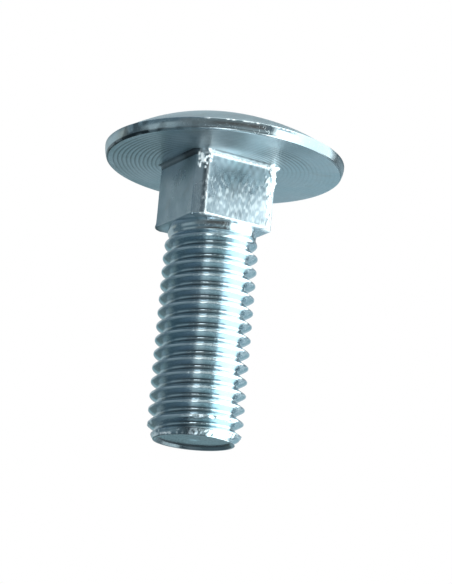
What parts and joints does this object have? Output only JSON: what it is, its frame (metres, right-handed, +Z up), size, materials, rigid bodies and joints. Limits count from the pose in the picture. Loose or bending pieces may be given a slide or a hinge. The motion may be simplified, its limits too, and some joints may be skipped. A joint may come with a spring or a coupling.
{
  "type": "carriage bolt",
  "caption": "Zinc-plated steel carriage bolt with a low domed head, a square neck and a fully threaded shank; the neck bites into timber so that the bolt can't turn.",
  "frame": {"origin": "on the table that the tip stands on, under the middle of the head", "axes": "+Z up from the tip to the head, -Y to the neck flat called front, +X to the right seen from there"},
  "size_m": [0.0303, 0.0302, 0.0413],
  "materials": {
    "zinc_plated_steel": "bright zinc plating with a blue passivated sheen"
  },
  "bodies": {
    "root": {"carriage_bolt": "zinc_plated_steel"}
  },
  "joints": []
}
